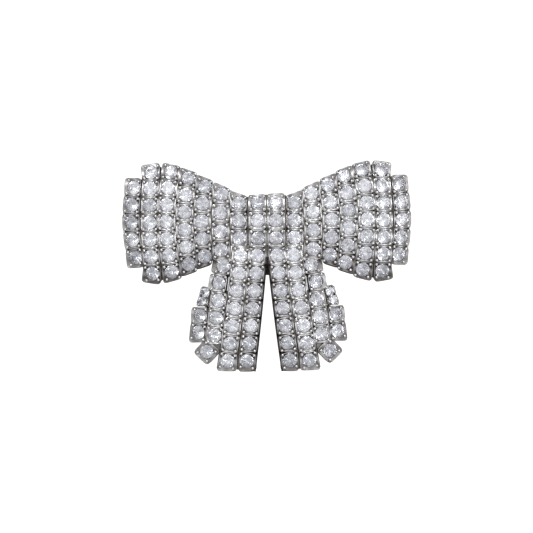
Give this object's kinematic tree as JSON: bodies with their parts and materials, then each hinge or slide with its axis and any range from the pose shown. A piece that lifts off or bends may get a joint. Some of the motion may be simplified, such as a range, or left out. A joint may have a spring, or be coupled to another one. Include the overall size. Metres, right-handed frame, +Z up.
{
  "type": "brooch",
  "caption": "Bow-shaped brooch: antiqued metal castings pave-set with round clear crystals in square cups, worn on cloth by a hinged pin with a rotating safety catch.",
  "frame": {"origin": "on the axis of the closed pin stem, midway along the bow", "axes": "+Z up as worn, -Y out of the crystal front, +X along the bow to the right as seen from the front"},
  "size_m": [0.05, 0.0103, 0.0363],
  "materials": {
    "antique_rhodium": "rhodium-tone plated casting, polished on its rims and beads, dark oxidised in the grooves",
    "bright_rhodium": "bright rhodium-tone plate, lightly satin",
    "crystal": "clear faceted crystal with silver foil back"
  },
  "bodies": {
    "root": {"left_loop": "antique_rhodium", "right_loop": "antique_rhodium", "knot": "antique_rhodium", "left_tail": "antique_rhodium", "right_tail": "antique_rhodium", "backing_plate": "antique_rhodium", "pin_bar": "bright_rhodium", "left_post": "antique_rhodium", "right_post": "antique_rhodium", "hinge_bracket": "bright_rhodium", "hinge_rivet": "bright_rhodium", "catch_housing": "bright_rhodium", "left_loop_stones_1": "crystal", "left_loop_stones_2": "crystal", "left_loop_stones_3": "crystal", "left_loop_stones_4": "crystal", "left_loop_stones_5": "crystal", "left_loop_stones_6": "crystal", "left_loop_stones_7": "crystal", "right_loop_stones_1": "crystal", "right_loop_stones_2": "crystal", "right_loop_stones_3": "crystal", "right_loop_stones_4": "crystal", "right_loop_stones_5": "crystal", "right_loop_stones_6": "crystal", "right_loop_stones_7": "crystal", "knot_stones_left": "crystal", "knot_stones_right": "crystal", "left_tail_stones_1": "crystal", "left_tail_stones_2": "crystal", "left_tail_stones_3": "crystal", "left_tail_stones_4": "crystal", "left_tail_small_stones": "crystal", "left_tail_end_stone": "crystal", "right_tail_stones_1": "crystal", "right_tail_stones_2": "crystal", "right_tail_stones_3": "crystal", "right_tail_stones_4": "crystal", "right_tail_small_stones": "crystal", "right_tail_end_stone": "crystal"},
    "pin": {"pin_stem": "bright_rhodium"},
    "rotor": {"catch_rotor": "bright_rhodium"}
  },
  "joints": [
    {"name": "pin_hinge", "type": "hinge", "parent": "root", "child": "pin", "pos_m": [-0.0146, 0, 0], "axis": [0, 0, 1], "range_deg": [0, 105]},
    {"name": "safety_catch", "type": "hinge", "parent": "root", "child": "rotor", "pos_m": [0.0136, 0, 0], "axis": [-1, 0, 0], "range_deg": [0, 110]}
  ]
}
